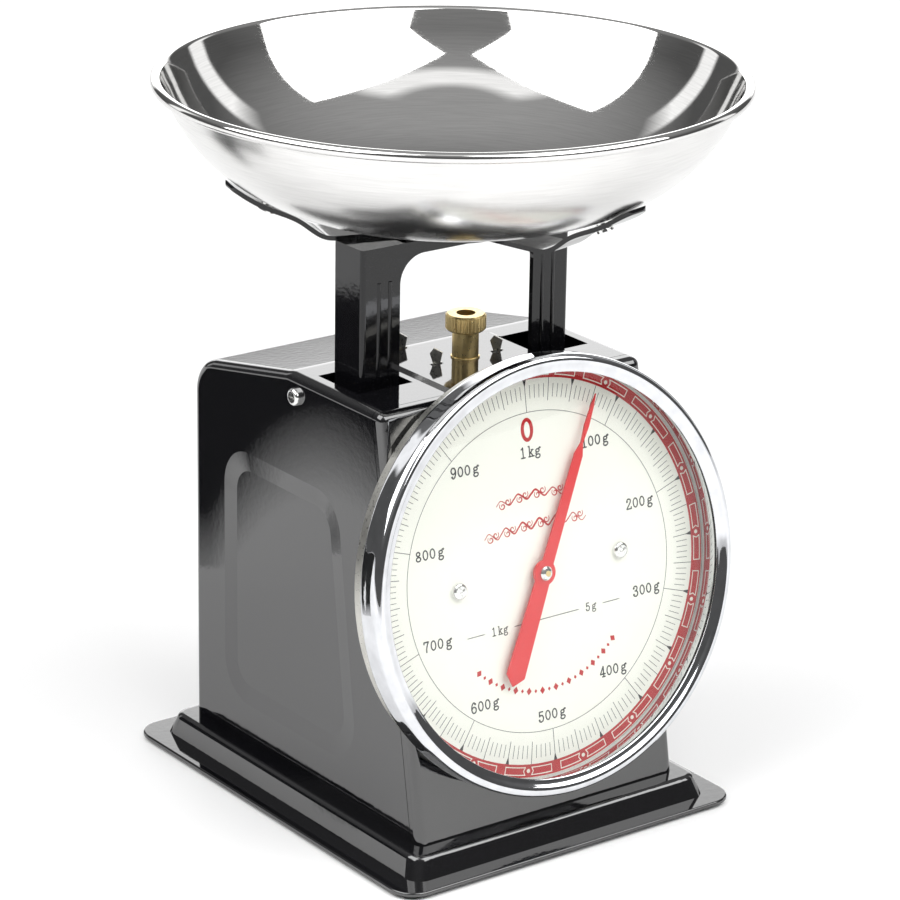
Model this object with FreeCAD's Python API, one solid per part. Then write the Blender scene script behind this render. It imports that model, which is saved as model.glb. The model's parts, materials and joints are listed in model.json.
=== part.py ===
"""Retro mechanical kitchen scale, 1 kg by 5 g, with a lift-off steel bowl.

Frame: millimetres, +Z up, +X to the right of the dial, the dial faces -Y.
The origin is on the floor under the middle of the bowl.
The scale is drawn with a light load on the tray, so the pointer stands a little past zero.
"""
import FreeCAD, Part
import math
import os

V = FreeCAD.Vector

# ---- driving dimensions -------------------------------------------------------------------
BOWL_R = 102.5            # outer radius of the bowl rim
BOWL_TOP = 260.0
BOWL_FLOOR = 215.0        # outside of the flat bottom
BOWL_FLAT_R = 39.4
BOWL_ARC_R = 63.2         # outside radius of the wall's section
BOWL_ARC_DEG = 66.0       # the wall runs straight above this slope
BOWL_SHEET = 1.0
BEAD_R = 1.9              # outside radius of the rolled rim
BEAD_END_DEG = -60.0

BODY_HALF = 55.8          # half width of the case
BODY_FLOOR = 10.5         # the case stands on the step of the base
BODY_TOP = 159.0
BODY_FRONT = -63.2        # foot of the front panel
BODY_REAR = 76.9
BEND_Y = 17.5             # the top slopes down behind this line
REAR_SLOPE = 11.0         # degrees
REAR_ROUND = 14.0
TILT = 9.8                # lean of the front panel and the dial, degrees
SHEET = 1.0
SEAM = 5.0                # depth of the front panel's folded edge
SEAM_GAP = 0.25

BASE_HALF = 72.6
BASE_Y0 = -79.1
BASE_Y1 = 93.1
FOOT_H = 1.5
FLANGE_T = 1.3
STEP_MARGIN = 6.0         # step of the base beyond the case, per side
STEP_DRAFT = 0.33         # the step widens downwards by this much per mm
PAD_R = 3.7
PAD_INSET = 6.0           # middle of a rubber pad from both edges of the flange

DIAL_Z = 96.4
DIAL_LIFT = 6.0           # dial face in front of the front panel
DIAL_Y = (BODY_FRONT + (DIAL_Z - BODY_FLOOR) * math.tan(math.radians(TILT))
          - DIAL_LIFT / math.cos(math.radians(TILT)))
DIAL_R = 71.8
DRUM_R = 74.0
DRUM_FRONT = 8.0
BEZEL_R = 76.4
BEZEL_OPEN_R = 70.0
BEZEL_BACK = 2.0
BEZEL_FRONT = 12.0

POST_OUT = 44.2           # outside of the tray posts
POST_IN = 28.4
POST_Y0 = -10.2
POST_Y1 = 5.7
POST_T = 2.0
ARCH_TOP = 207.0
ARCH_UNDER = 202.5
ARCH_ROUND = 10.0
POST_FOOT = 34.0
SLOT_IN = 26.5
SLOT_OUT = 49.5
SLOT_Y0 = -15.5
SLOT_Y1 = 8.0
FIELD_X0 = -24.5          # raised field between the slots
FIELD_X1 = 29.5
FIELD_RISE = 0.8

SPIDER_ANGLES = (-76.0, 44.0, 164.0)
HUB_R = 24.0
ARM_T = 1.6
ARM_WIDTH = 15.0
ARM_ROOT = 10.0
ARM_TIP = 79.8
ARM_STEPS = 24
ARM_LINE = [
    (36.0, ARCH_TOP + ARM_T / 2), (42.0, 207.85), (47.0, 208.3), (51.0, 210.3), (56.0, 214.2),
    (60.0, 216.6), (66.0, 219.25), (73.0, 222.95), (79.6, 227.4),
]
REST_R = 66.0             # the bowl stands on three rivet heads at this radius
REST_Z = 219.25
REST_LEAN = 24.9          # degrees

KNOB_X = 3.5
KNOB_Y = -5.0
KNOB_HEAD_R = 7.1
KNOB_STEM_R = 4.65
KNOB_TOP = 175.8
KNOB_HEAD_Z = 169.8
SCREW_R = 2.4
SCREW_END = 138.0
WASHER_T = 0.6

MODULE = 0.4              # pinion and rack
PINION_TEETH = 10
PITCH_R = MODULE * PINION_TEETH / 2
MESH_GAP = 0.12
TURN_TRAVEL = 2 * math.pi * PITCH_R / math.cos(math.radians(TILT))
CAPACITY_G = 1000.0
LOAD_G = 71.7             # load shown by the pointer as drawn
REST = TURN_TRAVEL * LOAD_G / CAPACITY_G
FULL = TURN_TRAVEL - REST
POINTER_DEG = 360.0 * LOAD_G / CAPACITY_G

LEVER_REAR_Y = 58.0
LEVER_FRONT_Y = -2.0
LEVER_PIN_LOW = 60.0      # pin heights in the posts as drawn
LEVER_PIN_HIGH = 138.0
LEVER_X = 47.0
LEVER_LEN = LEVER_REAR_Y - LEVER_FRONT_Y
MID_DROP = (FULL - REST) / 2
LEVER_DEG = math.degrees(math.asin(MID_DROP / LEVER_LEN))

POINTER_Z = 2.4           # height over the dial
SHAFT_R = 1.0
SHAFT_BACK = -31.0
PINION_Z0 = -26.5         # along the pointer shaft
PINION_Z1 = -18.5
RACK_Z0 = -23.0
RACK_Z1 = -20.0
RACK_SCREW_Y = -40.2      # in the frame of the whole scale
RACK_SCREW_Z = 51.0

FIELD_SIDE = [(-26.0, 26.0), (-13.0, 122.0), (57.0, 122.0), (57.0, 26.0)]   # pressed side field, (y, z)
FIELD_FLOOR = [(-18.0, 33.0), (-7.0, 115.0), (50.0, 115.0), (50.0, 33.0)]
FIELD_DEPTH = 0.7
FIELD_ROUND = 15.0

SPRING_DX = 12.0
SPRING_R = 4.0
SPRING_WIRE = 0.45
SPRING_TURNS = 20
HANG_PIN_Z = 143.0
CARRIER_PIN_Z = 52.0


# ---- helpers ------------------------------------------------------------------------------
def block(x0, x1, y0, y1, z0, z1):
    return Part.makeBox(x1 - x0, y1 - y0, z1 - z0, V(x0, y0, z0))


def rod(x, y, z0, z1, r):
    return Part.makeCylinder(r, z1 - z0, V(x, y, z0))


def rod_x(x0, x1, y, z, r):
    return Part.makeCylinder(r, x1 - x0, V(x0, y, z), V(1, 0, 0))


def rod_y(x, y0, y1, z, r):
    return Part.makeCylinder(r, y1 - y0, V(x, y0, z), V(0, 1, 0))


def fuse(shapes):
    result = shapes[0].multiFuse(list(shapes[1:])) if len(shapes) > 1 else shapes[0]
    return result.removeSplitter()


def cut(shape, tools):
    for tool in tools:
        shape = shape.cut(tool)
    return shape


def group(shapes):
    return Part.makeCompound(shapes)


def revolve(points, close=True):
    """Turn a closed outline of (radius, height) points about Z."""
    outline = [V(r, 0, z) for r, z in points]
    if close:
        outline.append(outline[0])
    return Part.Face(Part.makePolygon(outline)).revolve(V(0, 0, 0), V(0, 0, 1), 360)


def extrude_x(points, x0, x1):
    outline = [V(x0, y, z) for y, z in points]
    outline.append(outline[0])
    return Part.Face(Part.makePolygon(outline)).extrude(V(x1 - x0, 0, 0))


def extrude_z(points, z0, z1):
    outline = [V(x, y, z0) for x, y in points]
    outline.append(outline[0])
    return Part.Face(Part.makePolygon(outline)).extrude(V(0, 0, z1 - z0))


def rounded_block(x0, x1, y0, y1, z0, z1, r):
    """Block with its four upright edges rounded."""
    solid = block(x0, x1, y0, y1, z0, z1)
    return solid.makeFillet(r, upright_edges(solid))


def upright_edges(solid):
    return [e for e in solid.Edges if is_line(e) and abs(e.tangentAt(e.FirstParameter).z) > 0.999]


def is_line(edge):
    return isinstance(edge.Curve, (Part.Line, Part.LineSegment))


def on_dial(shape):
    """Move a shape drawn about the dial's own axis (its +Z looks out of the dial) into place."""
    moved = shape.copy()
    turn = FreeCAD.Rotation(V(1, 0, 0), 90 - TILT)
    moved.Placement = FreeCAD.Placement(V(0, DIAL_Y, DIAL_Z), turn).multiply(moved.Placement)
    return moved


def front_y(z, depth=0.0):
    """Y of a plane parallel to the front panel, depth behind its outer face, at height z."""
    lean = math.radians(TILT)
    return BODY_FRONT + (z - BODY_FLOOR) * math.tan(lean) + depth / math.cos(lean)


def roof_z(y, depth=0.0):
    """Height of the sloping rear roof at y, depth below its outer face."""
    slope = math.radians(REAR_SLOPE)
    return BODY_TOP - (y - BEND_Y) * math.tan(slope) - depth / math.cos(slope)


def level_edges(solid, z):
    """Round edges of a solid that lie at height z."""
    return [e for e in solid.Edges if not is_line(e) and abs(e.CenterOfMass.z - z) < 1e-6]


def mirrored_block(sign, x0, x1, y0, y1, z0, z1):
    """Block between x0 and x1, on the right for sign 1 and on the left for sign -1."""
    low, high = sorted((sign * x0, sign * x1))
    return block(low, high, y0, y1, z0, z1)


def pan_screw(head_r, head_h, shank_r, length):
    """Cross-head pan screw along Z: the underside of the head is z = 0 and the shank goes down."""
    head = rod(0, 0, 0, head_h, head_r)
    head = head.makeFillet(head_h * 0.6, level_edges(head, head_h))
    blade = block(-head_r * 0.6, head_r * 0.6, -head_r * 0.12, head_r * 0.12, head_h * 0.35, head_h + 1)
    other = blade.copy()
    other.rotate(V(0, 0, 0), V(0, 0, 1), 90)
    head = cut(head, [blade, other])
    return fuse([head, rod(0, 0, -length, 0.1, shank_r)])


def rounded_loop(points, r):
    """Closed flat wire through the points, with corners of radius r."""
    corners = []
    count = len(points)
    for i in range(count):
        here = points[i]
        back = (points[i - 1] - here).normalize()
        ahead = (points[(i + 1) % count] - here).normalize()
        half = back.getAngle(ahead) / 2
        middle = here + (back + ahead).normalize() * (r / math.sin(half) - r)
        reach = r / math.tan(half)
        corners.append((here + back * reach, middle, here + ahead * reach))
    edges = []
    for i in range(count):
        start, middle, end = corners[i]
        edges.append(Part.Arc(start, middle, end).toShape())
        edges.append(Part.makeLine(end, corners[(i + 1) % count][0]))
    return Part.Wire(edges)


def placed(shape, x, y, z, axis=V(1, 0, 0), angle=0.0):
    moved = shape.copy()
    if angle:
        moved.rotate(V(0, 0, 0), axis, angle)
    moved.translate(V(x, y, z))
    return moved


# ---- base ---------------------------------------------------------------------------------
def step_loop(z, inset):
    """Outline of the drafted step at height z, moved inwards by inset."""
    margin = STEP_MARGIN + STEP_DRAFT * (BODY_FLOOR - z) - inset
    x = BODY_HALF + margin
    front, rear = BODY_FRONT - margin - 0.6, BODY_REAR + margin
    corners = [V(-x, front, z), V(x, front, z), V(x, rear, z), V(-x, rear, z)]
    return rounded_loop(corners, 6.0 - inset)


def step_solid(inset, z0, z1, round_top):
    solid = Part.makeLoft([step_loop(z0, inset), step_loop(z1, inset)], True, True)
    top = [e for e in solid.Edges if abs(e.CenterOfMass.z - z1) < 1e-6]
    return solid.makeFillet(round_top, top)


def base_corners():
    x = BASE_HALF - PAD_INSET
    return [(sx * x, y) for sx in (-1, 1) for y in (BASE_Y0 + PAD_INSET, BASE_Y1 - PAD_INSET)]


def base_screw_spots():
    return [(sx * (BODY_HALF - 6), y) for sx in (-1, 1) for y in (-48.0, 34.0)]


def chassis_screw_spots():
    return [(sx * 40.0, y) for sx in (-1, 1) for y in (47.5, 68.5)]


def base_plate():
    low = FOOT_H
    flange = rounded_block(-BASE_HALF, BASE_HALF, BASE_Y0, BASE_Y1, low, low + FLANGE_T, 9.5)
    rim = [e for e in flange.Edges if abs(e.CenterOfMass.z - low - FLANGE_T) < 1e-6]
    flange = flange.makeFillet(0.6, rim)
    step = step_solid(0, low, BODY_FLOOR, 2.4)
    hollow = step_solid(FLANGE_T, low - 1, BODY_FLOOR - FLANGE_T, 1.2)
    plate = fuse([flange, step]).cut(hollow)
    holes = [rod(x, y, low, 12, 1.9) for x, y in base_screw_spots() + chassis_screw_spots()]
    return cut(plate, holes)


def rubber_feet():
    feet = []
    for x, y in base_corners():
        pad = revolve([(0, 0), (PAD_R - 0.4, 0), (PAD_R, 0.4), (PAD_R, FOOT_H), (0, FOOT_H)])
        feet.append(placed(pad, x, y, 0))
    return group(feet)


def base_screws():
    screw = pan_screw(3.2, 1.9, 1.6, 6.5)
    spots = base_screw_spots() + chassis_screw_spots()
    return group([placed(screw, x, y, BODY_FLOOR - FLANGE_T, V(1, 0, 0), 180) for x, y in spots])


# ---- case ---------------------------------------------------------------------------------
def body_outline(inset):
    floor = BODY_FLOOR
    top = BODY_TOP - inset
    bend = BEND_Y - inset * math.tan(math.radians(REAR_SLOPE / 2))
    rear = BODY_REAR - inset
    front_low = front_y(floor, inset)
    front_high = front_y(top, inset)
    return [(front_low, floor), (front_high, top), (bend, top), (rear, roof_z(rear, inset)), (rear, floor)]


def body_solid(inset, edge_r, rear_r):
    half = BODY_HALF - inset
    solid = extrude_x(body_outline(inset), -half, half)
    rear_top = [e for e in solid.Edges
                if abs(e.CenterOfMass.x) < 1e-6 and e.CenterOfMass.y > BODY_REAR - inset - 1e-3
                and e.CenterOfMass.z > 100]
    solid = solid.makeFillet(rear_r, rear_top)
    ridge = [e for e in solid.Edges if is_line(e) and abs(e.CenterOfMass.x) < 1e-6
             and abs(e.CenterOfMass.y - BEND_Y) < 1.0 and e.CenterOfMass.z > 100]
    solid = solid.makeFillet(12.0, ridge)
    sharp = [e for e in solid.Edges if e.CenterOfMass.z > BODY_FLOOR + 1
             and not (abs(e.CenterOfMass.x) < 1e-6 and e.CenterOfMass.y > front_y(e.CenterOfMass.z) + 3)]
    return solid.makeFillet(edge_r, sharp)


def behind_seam(depth):
    """Everything behind a plane parallel to the front panel."""
    low, high = BODY_FLOOR - 20, BODY_TOP + 20
    outline = [(front_y(low, depth), low), (front_y(high, depth), high), (200, high), (200, low)]
    return extrude_x(outline, -99, 99)


def side_panel(sign):
    """Cutter for the shallow pressed field on one side of the case, with a wide sloping border."""
    face = sign * BODY_HALF
    floor = face - sign * FIELD_DEPTH
    outer = rounded_loop([V(face, y, z) for y, z in FIELD_SIDE], FIELD_ROUND)
    inner = rounded_loop([V(floor, y, z) for y, z in FIELD_FLOOR], FIELD_ROUND - 6.0)
    return Part.makeLoft([outer, inner], True, True)


def tab_spots():
    return [(KNOB_X - 13.0, -6.0), (KNOB_X + 13.0, -6.0), (KNOB_X - 13.0, 14.6), (KNOB_X + 13.0, 14.6)]


def side_screw_spots():
    return [(sx, 12.0, 151.6) for sx in (-1, 1)]


def rear_screw_spots():
    return [(x, 128.0) for x in (-38.0, 38.0)]


def case_cover():
    shell = body_solid(0, 3.2, REAR_ROUND).cut(body_solid(SHEET, 2.2, REAR_ROUND - SHEET))
    shell = shell.fuse(raised_field())
    for sign in (-1, 1):
        shell = shell.cut(side_panel(sign))
    shell = fuse([shell] + side_backs() + bottom_lips()).common(behind_seam(SEAM + SEAM_GAP))
    holes = []
    low, high = BODY_TOP - 5, BODY_TOP + 5
    for sign in (-1, 1):
        holes.append(mirrored_block(sign, SLOT_IN, SLOT_OUT, SLOT_Y0, SLOT_Y1, low, high))
    for x, y in tab_spots():
        holes.append(block(x - 2.4, x + 2.4, y - 0.9, y + 0.9, low, high))
    holes.append(rod(KNOB_X, KNOB_Y, low, high, 3.2))
    for sign, y, z in side_screw_spots():
        holes.append(rod_x(sign * BODY_HALF - 3, sign * BODY_HALF + 3, y, z, 1.8))
    for x, z in rear_screw_spots():
        holes.append(rod_y(x, BODY_REAR - 3, BODY_REAR + 3, z, 1.8))
    for x, y in base_screw_spots():
        holes.append(rod(x, y, BODY_FLOOR - 2, BODY_FLOOR + 4, 1.75))
    return cut(shell, holes)


def raised_field():
    """Raised field between the two post slots, with sloping sides."""
    front, rear = -31.0, BEND_Y - 4.0
    low, high = BODY_TOP - 0.2, BODY_TOP + FIELD_RISE
    section = [(FIELD_X0, low), (FIELD_X0 + 3.0, high), (FIELD_X1 - 3.0, high), (FIELD_X1, low)]
    outline = [V(x, front, z) for x, z in section]
    outline.append(outline[0])
    return Part.Face(Part.makePolygon(outline)).extrude(V(0, rear - front, 0))


def side_backs():
    """Inside backing of the pressed side fields, so that the sheet keeps its thickness."""
    backs = []
    for sign in (-1, 1):
        x = sign * (BODY_HALF - SHEET)
        xs = sorted((x, x - sign * 0.7))
        backs.append(extrude_x([(-28, 24), (-15, 124), (59, 124), (59, 24)], xs[0], xs[1]))
    return backs


def bottom_lips():
    """Inward flanges along the foot of the sides, where the base screws hold the case."""
    lips = []
    for sign in (-1, 1):
        xs = sorted((sign * (BODY_HALF - 10), sign * (BODY_HALF - SHEET + 0.1)))
        lips.append(block(*xs, -54, 72, BODY_FLOOR, BODY_FLOOR + SHEET))
    return lips


def front_panel():
    shell = body_solid(0, 3.2, REAR_ROUND).cut(body_solid(SHEET, 2.2, REAR_ROUND - SHEET))
    shell = shell.cut(behind_seam(SEAM))
    bush_hole = on_dial(rod(0, 0, -20, 0, 3.6))
    return shell.cut(bush_hole)


def case_screws():
    side = pan_screw(3.15, 2.1, 1.6, 5.0)
    parts = []
    for sign, y, z in side_screw_spots():
        parts.append(placed(side, sign * BODY_HALF, y, z, V(0, 1, 0), sign * 90))
    for x, z in rear_screw_spots():
        parts.append(placed(side, x, BODY_REAR, z, V(1, 0, 0), -90))
    return group(parts)


# ---- dial ---------------------------------------------------------------------------------
def dial_screw_spots():
    return [(-34.7, 0.6), (34.7, 0.6)]


def dial_drum():
    back = -DIAL_LIFT
    outline = [(3.6, back), (DRUM_R - 1.5, back), (DRUM_R, back + 1.5), (DRUM_R, DRUM_FRONT),
               (DRUM_R - 1.6, DRUM_FRONT), (DRUM_R - 1.6, back + 1.2), (3.6, back + 1.2)]
    shape = revolve(outline)
    ledge = revolve([(DIAL_R - 3, -4.8), (DRUM_R - 1.5, -4.8), (DRUM_R - 1.5, -0.9), (DIAL_R - 3, -0.9)])
    bosses = [rod(x, y, back + 1, -0.9, 4.0) for x, y in dial_screw_spots()]
    shape = fuse([shape, ledge] + bosses)
    shape = cut(shape, [rod(x, y, -5.5, 0, 1.3) for x, y in dial_screw_spots()])
    return on_dial(shape)


def dial_plate():
    plate = rod(0, 0, -0.9, 0, DIAL_R)
    holes = [rod(0, 0, -2, 2, 3.0)] + [rod(x, y, -2, 2, 1.4) for x, y in dial_screw_spots()]
    return on_dial(cut(plate, holes))


def dial_screws():
    screw = pan_screw(3.0, 1.8, 1.25, 5.0)
    return on_dial(group([placed(screw, x, y, 0, V(0, 0, 1), 20) for x, y in dial_screw_spots()]))


def bezel_ring():
    outline = [(DRUM_R + 0.1, BEZEL_BACK), (BEZEL_R - 0.7, BEZEL_BACK), (BEZEL_R, BEZEL_BACK + 0.9),
               (BEZEL_R, 9.8), (BEZEL_R - 0.35, 11.0), (BEZEL_R - 1.2, 11.8), (BEZEL_R - 2.4, BEZEL_FRONT),
               (72.6, 11.7), (71.0, 10.95), (70.1, 10.6), (BEZEL_OPEN_R, 10.35), (70.2, 10.2),
               (DRUM_R + 0.1, 10.2)]
    return on_dial(revolve(outline))


def lens():
    """Domed glass with a flat rim under the bezel."""
    low, high = 8.3, 10.1
    edge = DRUM_R - 0.3
    dome = 69.5
    rise = 0.9
    steps = 8
    heights = [(dome * i / steps, rise * (1 - (i / steps) ** 2)) for i in range(steps + 1)]
    under = [(r, low + h) for r, h in heights]
    front = [(r, high + h) for r, h in reversed(heights)]
    return on_dial(revolve(under + [(edge, low), (edge, high)] + front))


def lens_gasket():
    return on_dial(revolve([(71.0, 8.0), (DRUM_R - 0.1, 8.0), (DRUM_R - 0.1, 8.3), (71.0, 8.3)]))


# ---- pointer and its gear -----------------------------------------------------------------
def pointer():
    """Flat red hand, drawn along +Y of the dial and turned clockwise to the load."""
    half = [(0, 64.0), (0.6, 59.5), (0.95, 52.5), (0.4, 46.4), (1.75, 42.3), (2.35, 3.7), (3.0, -3.2),
            (3.9, -36.8), (0, -40.4)]
    left = [(-x, y) for x, y in reversed(half[1:-1])]
    blade = extrude_z(half + left, POINTER_Z, POINTER_Z + 0.7)
    shape = fuse([blade, rod(0, 0, POINTER_Z - 0.5, POINTER_Z + 0.7, 4.4)])
    shape = shape.cut(rod(0, 0, 0, 9, SHAFT_R))
    shape.rotate(V(0, 0, 0), V(0, 0, 1), -POINTER_DEG)
    return on_dial(shape)


def pointer_nut():
    shape = revolve([(SHAFT_R, POINTER_Z + 0.7), (2.5, POINTER_Z + 0.7), (2.5, POINTER_Z + 1.5),
                     (1.9, POINTER_Z + 2.1), (SHAFT_R, POINTER_Z + 2.3)])
    return on_dial(shape)


def pointer_shaft():
    shape = fuse([rod(0, 0, SHAFT_BACK, POINTER_Z + 2.6, SHAFT_R), rod(0, 0, -16.5, -15.5, 1.8)])
    return on_dial(shape)


def pinion():
    outer = PITCH_R + MODULE
    root = PITCH_R - 1.25 * MODULE
    teeth = [rod(0, 0, PINION_Z0, PINION_Z1, root)]
    for i in range(PINION_TEETH):
        tooth = extrude_z([(root - 0.3, -0.36), (PITCH_R, -0.24), (outer, -0.1), (outer, 0.1),
                           (PITCH_R, 0.24), (root - 0.3, 0.36)], PINION_Z0, PINION_Z1)
        tooth.rotate(V(0, 0, 0), V(0, 0, 1), 360.0 * i / PINION_TEETH)
        teeth.append(tooth)
    shape = fuse(teeth).cut(rod(0, 0, PINION_Z0 - 1, PINION_Z1 + 1, SHAFT_R))
    return on_dial(shape)


def rack():
    """Toothed strip beside the pinion.  It hangs on the tray carrier and moves straight down."""
    pitch = math.pi * MODULE
    line = PITCH_R + MESH_GAP
    low, high = -4.5, 17.0
    bar = block(line + 1.25 * MODULE, line + 4.2, -46.0, high, RACK_Z0, RACK_Z1)
    teeth = [bar]
    count = int((high - low) / pitch)
    back = line + 1.25 * MODULE + 0.1
    tip = line - MODULE
    for i in range(count):
        y = (i - 3 + 0.5) * pitch
        outline = [(back, y - 0.38), (line, y - 0.22), (tip, y - 0.08), (tip, y + 0.08), (line, y + 0.22),
                   (back, y + 0.38)]
        teeth.append(extrude_z(outline, RACK_Z0, RACK_Z1))
    return on_dial(fuse(teeth)).cut(rod_x(0, 40, RACK_SCREW_Y, RACK_SCREW_Z, 1.2))


def shaft_bush():
    outline = [(SHAFT_R + 0.06, -8.4), (3.5, -8.4), (3.5, -4.8), (4.6, -4.8), (4.6, -4.0), (2.4, -4.0),
               (2.4, -2.2), (SHAFT_R + 0.06, -2.2)]
    return on_dial(revolve(outline))


def gear_bridge():
    """Bracket on the back of the front panel that carries the rear end of the pointer shaft."""
    wall = -DIAL_LIFT - SHEET
    plate = block(-17.5, 17.5, -9, 9, -30.0, -28.5)
    legs = [mirrored_block(s, 16.0, 17.5, -9, 9, -30.0, wall) for s in (-1, 1)]
    feet = [mirrored_block(s, 16.0, 27.0, -9, 9, wall - 1.5, wall) for s in (-1, 1)]
    shape = fuse([plate] + legs + feet)
    shape = cut(shape, [rod(0, 0, -40, -20, SHAFT_R + 0.06)])
    shape = cut(shape, [rod(s * 22.5, 0, -20, 0, 1.5) for s in (-1, 1)])
    shape = cut(shape, [rod(8.0, 0, -40, -20, 1.25)])
    return on_dial(shape)


def bridge_screws():
    screw = pan_screw(2.6, 1.5, 1.4, 1.4)
    spots = [placed(screw, s * 22.5, 0, -DIAL_LIFT - SHEET - 1.5, V(1, 0, 0), 180) for s in (-1, 1)]
    return on_dial(group(spots))


def rack_guide():
    return on_dial(rod(8.0, 0, -30.0, -DIAL_LIFT - SHEET, 1.2))


# ---- tray frame ---------------------------------------------------------------------------
def arch_solid(y0, y1):
    outer = block(-POST_OUT, POST_OUT, y0, y1, POST_FOOT, ARCH_TOP)
    gap = block(-POST_IN, POST_IN, y0 - 1, y1 + 1, POST_FOOT - 1, ARCH_UNDER)
    bends = [e for e in gap.Edges if abs(e.CenterOfMass.z - ARCH_UNDER) < 1e-6
             and abs(e.tangentAt(e.FirstParameter).y) > 0.999]
    return outer.cut(gap.makeFillet(ARCH_ROUND, bends))


def tray_frame():
    """Pressed arch: flat face towards the dial, flanges folded back along the outside."""
    face = arch_solid(POST_Y0, POST_Y0 + POST_T)
    flanges = [mirrored_block(s, POST_OUT - POST_T, POST_OUT, POST_Y0, POST_Y1, POST_FOOT, ARCH_TOP)
               for s in (-1, 1)]
    top = block(-POST_OUT, POST_OUT, POST_Y0, POST_Y1, ARCH_TOP - POST_T, ARCH_TOP)
    shape = fuse([face, top] + flanges)
    corners = [e for e in shape.Edges if is_line(e) and abs(e.CenterOfMass.y - POST_Y0) < 1e-6
               and abs(abs(e.CenterOfMass.x) - POST_OUT) < 1e-6]
    shape = shape.makeFillet(1.6, corners)
    ribs = [rod(s * x, POST_Y0 + 0.35, 60, ARCH_UNDER - 8, 0.9)
            for s in (-1, 1) for x in (32.6, 37.2)]
    shape = fuse([shape] + ribs)
    slots = []
    for s in (-1, 1):
        for z in (LEVER_PIN_LOW, LEVER_PIN_HIGH):
            xs = sorted((s * (POST_OUT - 4), s * (POST_OUT + 1)))
            slots.append(rounded_slot(xs[0], xs[1], LEVER_FRONT_Y, z, 1.75, 1.2))
    rivets = [rod_y(x, -20, 0, 43.0, 1.5) for x in (-34.0, 34.0)]
    holes = [rod(x, y, ARCH_TOP - 9, ARCH_TOP + 4, 1.6) for x, y in spider_rivet_spots()]
    return cut(shape, slots + rivets + holes)


def rounded_slot(x0, x1, y, z, r, reach):
    return fuse([rod_x(x0, x1, y - reach, z, r), rod_x(x0, x1, y + reach, z, r),
                 block(x0, x1, y - reach, y + reach, z - r, z + r)])


def carrier_bar():
    """Cross plate between the feet of the posts.  The springs and the rack arm hold on to it."""
    y0 = POST_Y0 + POST_T
    plate = block(-POST_OUT + POST_T + 0.3, POST_OUT - POST_T - 0.3, y0, y0 + 2.0, 36.0, 56.0)
    foot = block(-24, 24, y0, y0 + 14.0, 36.0, 38.0)
    shape = fuse([plate, foot])
    shape = cut(shape, [rod_y(x, -20, 0, 43.0, 1.5) for x in (-34.0, 34.0)])
    pins = [rod_y(KNOB_X + s * SPRING_DX, y0 + 1.5, y0 + 9.0, CARRIER_PIN_Z, 1.2) for s in (-1, 1)]
    heads = [rod_y(KNOB_X + s * SPRING_DX, y0 + 8.4, y0 + 9.2, CARRIER_PIN_Z, 2.0) for s in (-1, 1)]
    return fuse([shape] + pins + heads)


def carrier_rivets():
    y = POST_Y0 + POST_T
    parts = []
    for x in (-34.0, 34.0):
        front = Part.makeCylinder(3.0, 1.2, V(x, POST_Y0 - 1.2, 43.0), V(0, 1, 0))
        rear = Part.makeCylinder(2.6, 1.0, V(x, y + 2.0, 43.0), V(0, 1, 0))
        parts.append(fuse([front, rear, rod_y(x, POST_Y0 - 0.5, y + 2.5, 43.0, 1.5)]))
    return group(parts)


def rack_arm():
    """Arm from the carrier bar forward to the foot of the rack."""
    x0 = PITCH_R + MESH_GAP + 4.2
    y0 = POST_Y0 + POST_T
    arm = block(x0, x0 + 2.0, -40.5, y0, 44.0, 56.0)
    tab = block(x0, x0 + 12.0, y0 - 2.0, y0, 44.0, 56.0)
    return fuse([arm, tab]).cut(rod_x(0, 40, RACK_SCREW_Y, RACK_SCREW_Z, 1.2))


def rack_screw():
    """Screw that clamps the foot of the rack to its arm."""
    x = PITCH_R + MESH_GAP + 6.2
    screw = pan_screw(2.4, 1.3, 1.2, 4.6)
    return placed(screw, x, RACK_SCREW_Y, RACK_SCREW_Z, V(0, 1, 0), 90)


def spider_rivet_spots():
    return [(-16.0, -2.2), (16.0, -2.2)]


def arm_curve(side):
    """Upturned part of one face of an arm, side away from the middle line."""
    line = Part.BSplineCurve()
    middle = [V(r, 0, z) for r, z in ARM_LINE]
    line.interpolate(middle, InitialTangent=V(1, 0, 0), FinalTangent=middle[-1] - middle[-2])
    face = []
    for i in range(ARM_STEPS + 1):
        u = line.FirstParameter + (line.LastParameter - line.FirstParameter) * i / ARM_STEPS
        point = line.value(u)
        along = line.tangent(u)[0]
        face.append(V(point.x - along.z * side, 0, point.z + along.x * side))
    curve = Part.BSplineCurve()
    curve.interpolate(face)
    return curve


def spider_arm():
    """One arm along X: flat as far as the hub's screw circle, then an S up to the bowl."""
    top = arm_curve(ARM_T / 2)
    under = arm_curve(-ARM_T / 2)
    root_top = V(ARM_ROOT, 0, ARCH_TOP + ARM_T)
    root_under = V(ARM_ROOT, 0, ARCH_TOP)
    edges = [
        Part.makeLine(root_under, under.StartPoint),
        under.toShape(),
        Part.makeLine(under.EndPoint, top.EndPoint),
        top.toShape(),
        Part.makeLine(top.StartPoint, root_top),
        Part.makeLine(root_top, root_under),
    ]
    section = Part.Face(Part.Wire(Part.__sortEdges__(edges)))
    arm = section.extrude(V(0, ARM_WIDTH, 0))
    arm.translate(V(0, -ARM_WIDTH / 2, 0))
    half = ARM_WIDTH / 2
    return arm.common(rounded_block(-5, ARM_TIP, -half, half, ARCH_TOP - 5, BOWL_TOP, 5.0))


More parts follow.
